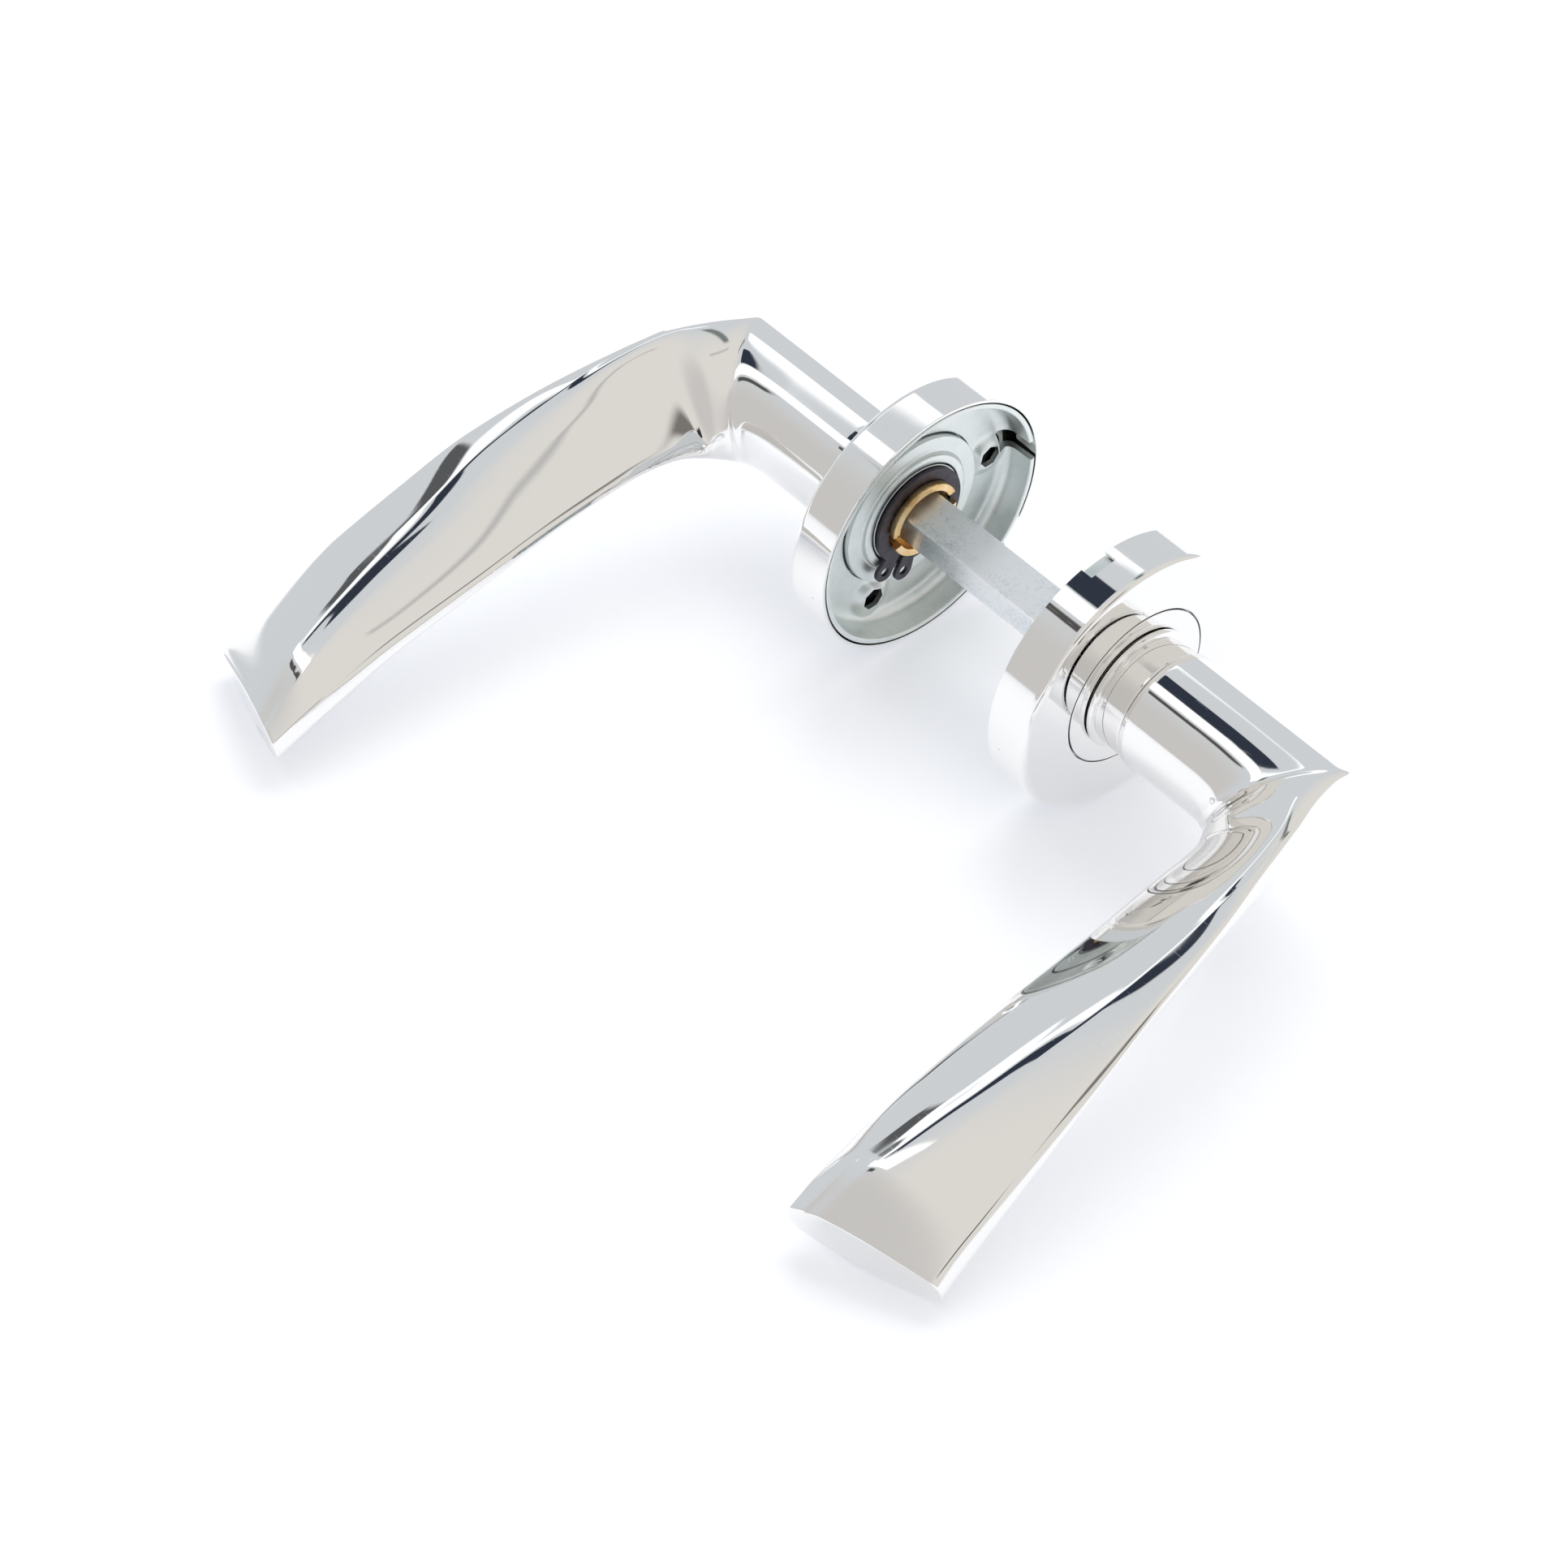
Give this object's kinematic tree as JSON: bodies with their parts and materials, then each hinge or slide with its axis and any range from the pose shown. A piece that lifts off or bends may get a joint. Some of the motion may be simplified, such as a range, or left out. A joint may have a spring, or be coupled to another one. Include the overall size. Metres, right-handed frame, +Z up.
{
  "type": "door lever handle set",
  "caption": "Pair of polished door levers with arched, twisted grips on round sprung roses, joined by a square spindle.",
  "frame": {"origin": "centre of the set's footprint, on the surface it lies on, midway between the two roses", "axes": "+X along the spindle from rose a to rose b, the levers point to -Y, +Z up from the surface"},
  "size_m": [0.1876, 0.1384, 0.052],
  "materials": {
    "polished_chrome": "mirror polished",
    "zinc_plate": "satin zinc plated pressing",
    "zinc_spindle": "mottled zinc plated bar",
    "brass": "turned",
    "black_spring_steel": "phosphated black",
    "spring_wire": "oiled spring wire",
    "nylon": "moulded"
  },
  "bodies": {
    "rose_a": {"rose_plate_a": "zinc_plate", "spring_housing_a": "zinc_plate", "return_spring_a": "spring_wire", "front_bush_a": "nylon", "back_bush_a": "nylon"},
    "cover_a": {"rose_cover_a": "polished_chrome"},
    "handle_a": {"lever_a": "polished_chrome", "neck_collar_a": "polished_chrome", "spindle_socket_a": "brass", "circlip_a": "black_spring_steel", "thrust_washer_a": "zinc_plate", "spring_driver_a": "zinc_plate", "grub_screw_a": "black_spring_steel", "spindle": "zinc_spindle"},
    "handle_b": {"lever_b": "polished_chrome", "neck_collar_b": "polished_chrome", "spindle_socket_b": "brass", "circlip_b": "black_spring_steel", "thrust_washer_b": "zinc_plate", "spring_driver_b": "zinc_plate", "grub_screw_b": "black_spring_steel"},
    "rose_b": {"rose_plate_b": "zinc_plate", "spring_housing_b": "zinc_plate", "return_spring_b": "spring_wire", "front_bush_b": "nylon", "back_bush_b": "nylon"},
    "cover_b": {"rose_cover_b": "polished_chrome"}
  },
  "joints": [
    {"name": "lever_turn", "type": "hinge", "parent": "rose_a", "child": "handle_a", "pos_m": [0, 0.04314, 0.026], "axis": [-1, 0, 0], "range_deg": [0, 45], "stiffness_Nm_per_rad": 1.5},
    {"name": "slide_b", "type": "slide", "parent": "handle_a", "child": "handle_b", "axis": [1, 0, 0], "range_m": [-0.008, 0.015]},
    {"name": "rose_b_turn", "type": "hinge", "parent": "handle_b", "child": "rose_b", "pos_m": [0, 0.04314, 0.026], "axis": [-1, 0, 0], "range_deg": [-45, 0]},
    {"name": "cover_a_slide", "type": "slide", "parent": "rose_a", "child": "cover_a", "axis": [-1, 0, 0], "range_m": [0, 0.025]},
    {"name": "cover_b_slide", "type": "slide", "parent": "rose_b", "child": "cover_b", "axis": [1, 0, 0], "range_m": [0, 0.025]}
  ],
  "couplings": [
    {"joint": "rose_b_turn", "follows": "lever_turn", "ratio": -1}
  ]
}
